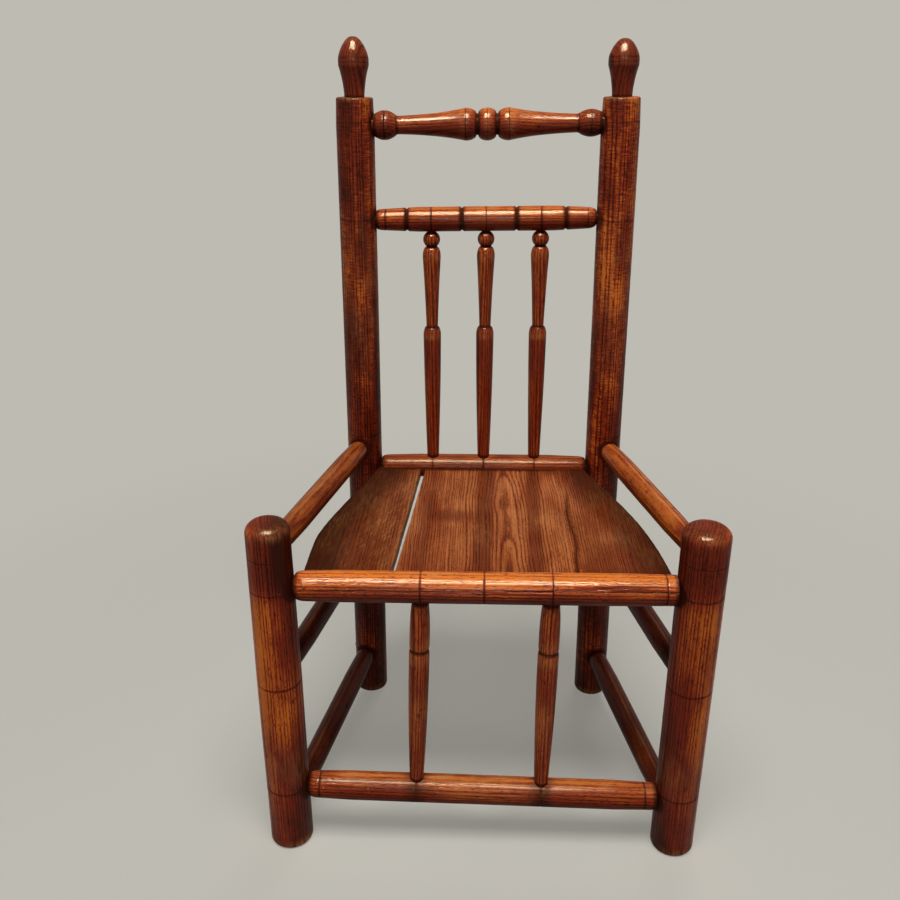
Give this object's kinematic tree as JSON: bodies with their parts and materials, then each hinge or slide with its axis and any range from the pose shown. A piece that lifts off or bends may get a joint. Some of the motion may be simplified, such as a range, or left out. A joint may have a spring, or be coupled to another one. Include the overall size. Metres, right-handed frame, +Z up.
{
  "type": "turned wooden chair",
  "caption": "Turned wooden chair with thick posts, acorn finials, turned rails and spindles, and a board seat with an open gap between its boards.",
  "frame": {"origin": "centre of the footprint, at floor level", "axes": "+Z up, +Y towards the back of the chair, +X towards the right as seen from the front"},
  "size_m": [0.6044, 0.416, 1.056],
  "materials": {
    "post_wood": "dark red-brown stain under gloss varnish, turned",
    "rail_wood": "dark red-brown stain under gloss varnish, turned",
    "spindle_wood": "dark red-brown stain under gloss varnish, turned",
    "seat_wood": "worn brown boards under varnish",
    "peg_wood": "dark stained"
  },
  "bodies": {
    "root": {"post_front_left": "post_wood", "post_front_right": "post_wood", "post_back_left": "post_wood", "post_back_right": "post_wood", "finial_left": "post_wood", "finial_right": "post_wood", "crest_rail": "rail_wood", "middle_back_rail": "rail_wood", "rear_seat_rail": "rail_wood", "front_seat_rail": "rail_wood", "front_stretcher": "rail_wood", "upper_side_rail_left": "rail_wood", "upper_side_rail_right": "rail_wood", "middle_side_rail_left": "rail_wood", "middle_side_rail_right": "rail_wood", "lower_side_stretcher_left": "rail_wood", "lower_side_stretcher_right": "rail_wood", "back_spindle_left": "spindle_wood", "back_spindle_centre": "spindle_wood", "back_spindle_right": "spindle_wood", "front_spindle_left": "spindle_wood", "front_spindle_right": "spindle_wood", "seat_board_narrow": "seat_wood", "seat_board_wide": "seat_wood", "joint_pegs": "peg_wood"}
  },
  "joints": []
}
